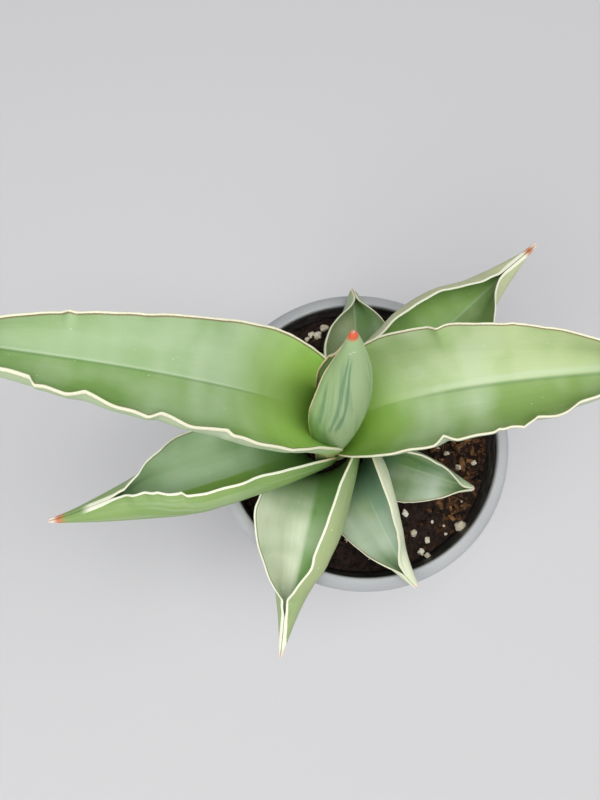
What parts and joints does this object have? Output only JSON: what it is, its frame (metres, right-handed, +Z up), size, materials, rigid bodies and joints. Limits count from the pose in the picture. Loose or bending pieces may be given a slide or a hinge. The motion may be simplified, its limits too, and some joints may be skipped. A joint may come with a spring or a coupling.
{
  "type": "potted snake plant",
  "caption": "Dwarf snake plant with thick channelled leaves that fan out left and right from a short stem, in a round nursery pot filled with soil",
  "frame": {"origin": "Centre of the pot's flat base, on the surface that the pot stands on", "axes": "+Z up, +X towards the big leaf that the picture shows on the right, +Y away from the viewer"},
  "size_m": [0.2544, 0.1551, 0.187],
  "materials": {
    "pot_plastic": "pale blue-grey moulded polypropylene, satin, with faint turning lines and dust",
    "potting_soil": "dark moist peat with white perlite grains and golden brown bark chips",
    "stem_tissue": "pale green fleshy tissue, satin",
    "young_leaf": "fresh green waxy skin with a pale satin bloom, a cream margin with a red-brown line inside it",
    "grown_leaf": "mid green waxy skin, cream margin, orange-brown tip with a pale point",
    "old_leaf": "darker blue-grey green waxy skin, cream margin"
  },
  "bodies": {
    "root": {"pot": "pot_plastic", "soil": "potting_soil", "stem": "stem_tissue", "leaf_spear": "young_leaf", "leaf_left": "young_leaf", "leaf_right": "young_leaf", "leaf_front_left": "grown_leaf", "leaf_back_right": "grown_leaf", "leaf_front": "grown_leaf", "leaf_back": "old_leaf", "leaf_front_low": "old_leaf", "leaf_right_low": "old_leaf"}
  },
  "joints": []
}
